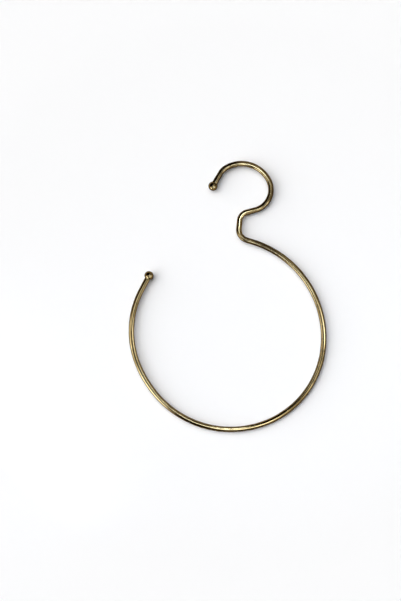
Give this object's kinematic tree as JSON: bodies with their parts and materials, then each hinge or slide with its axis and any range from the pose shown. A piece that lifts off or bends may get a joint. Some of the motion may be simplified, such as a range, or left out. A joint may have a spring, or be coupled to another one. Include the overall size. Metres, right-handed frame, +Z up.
{
  "type": "scarf hanger",
  "caption": "Brass wire scarf hanger: a rail hook on a short neck over an open ring for scarves, with a ball on each end of the wire.",
  "frame": {"origin": "where the rail bears: the lowest line of the wire at the middle of the hook's crown", "axes": "+Z up, as the hanger hangs plumb from a rail; +X to the right as seen from the front, away from the hook's tip; +Y away from the viewer, square to the flat of the wire"},
  "size_m": [0.1743, 0.008, 0.239],
  "materials": {
    "brass_wire": "polished, lightly tarnished",
    "brass_balls": "polished"
  },
  "bodies": {
    "root": {"bent_wire": "brass_wire", "hook_ball": "brass_balls", "ring_ball": "brass_balls"}
  },
  "joints": []
}
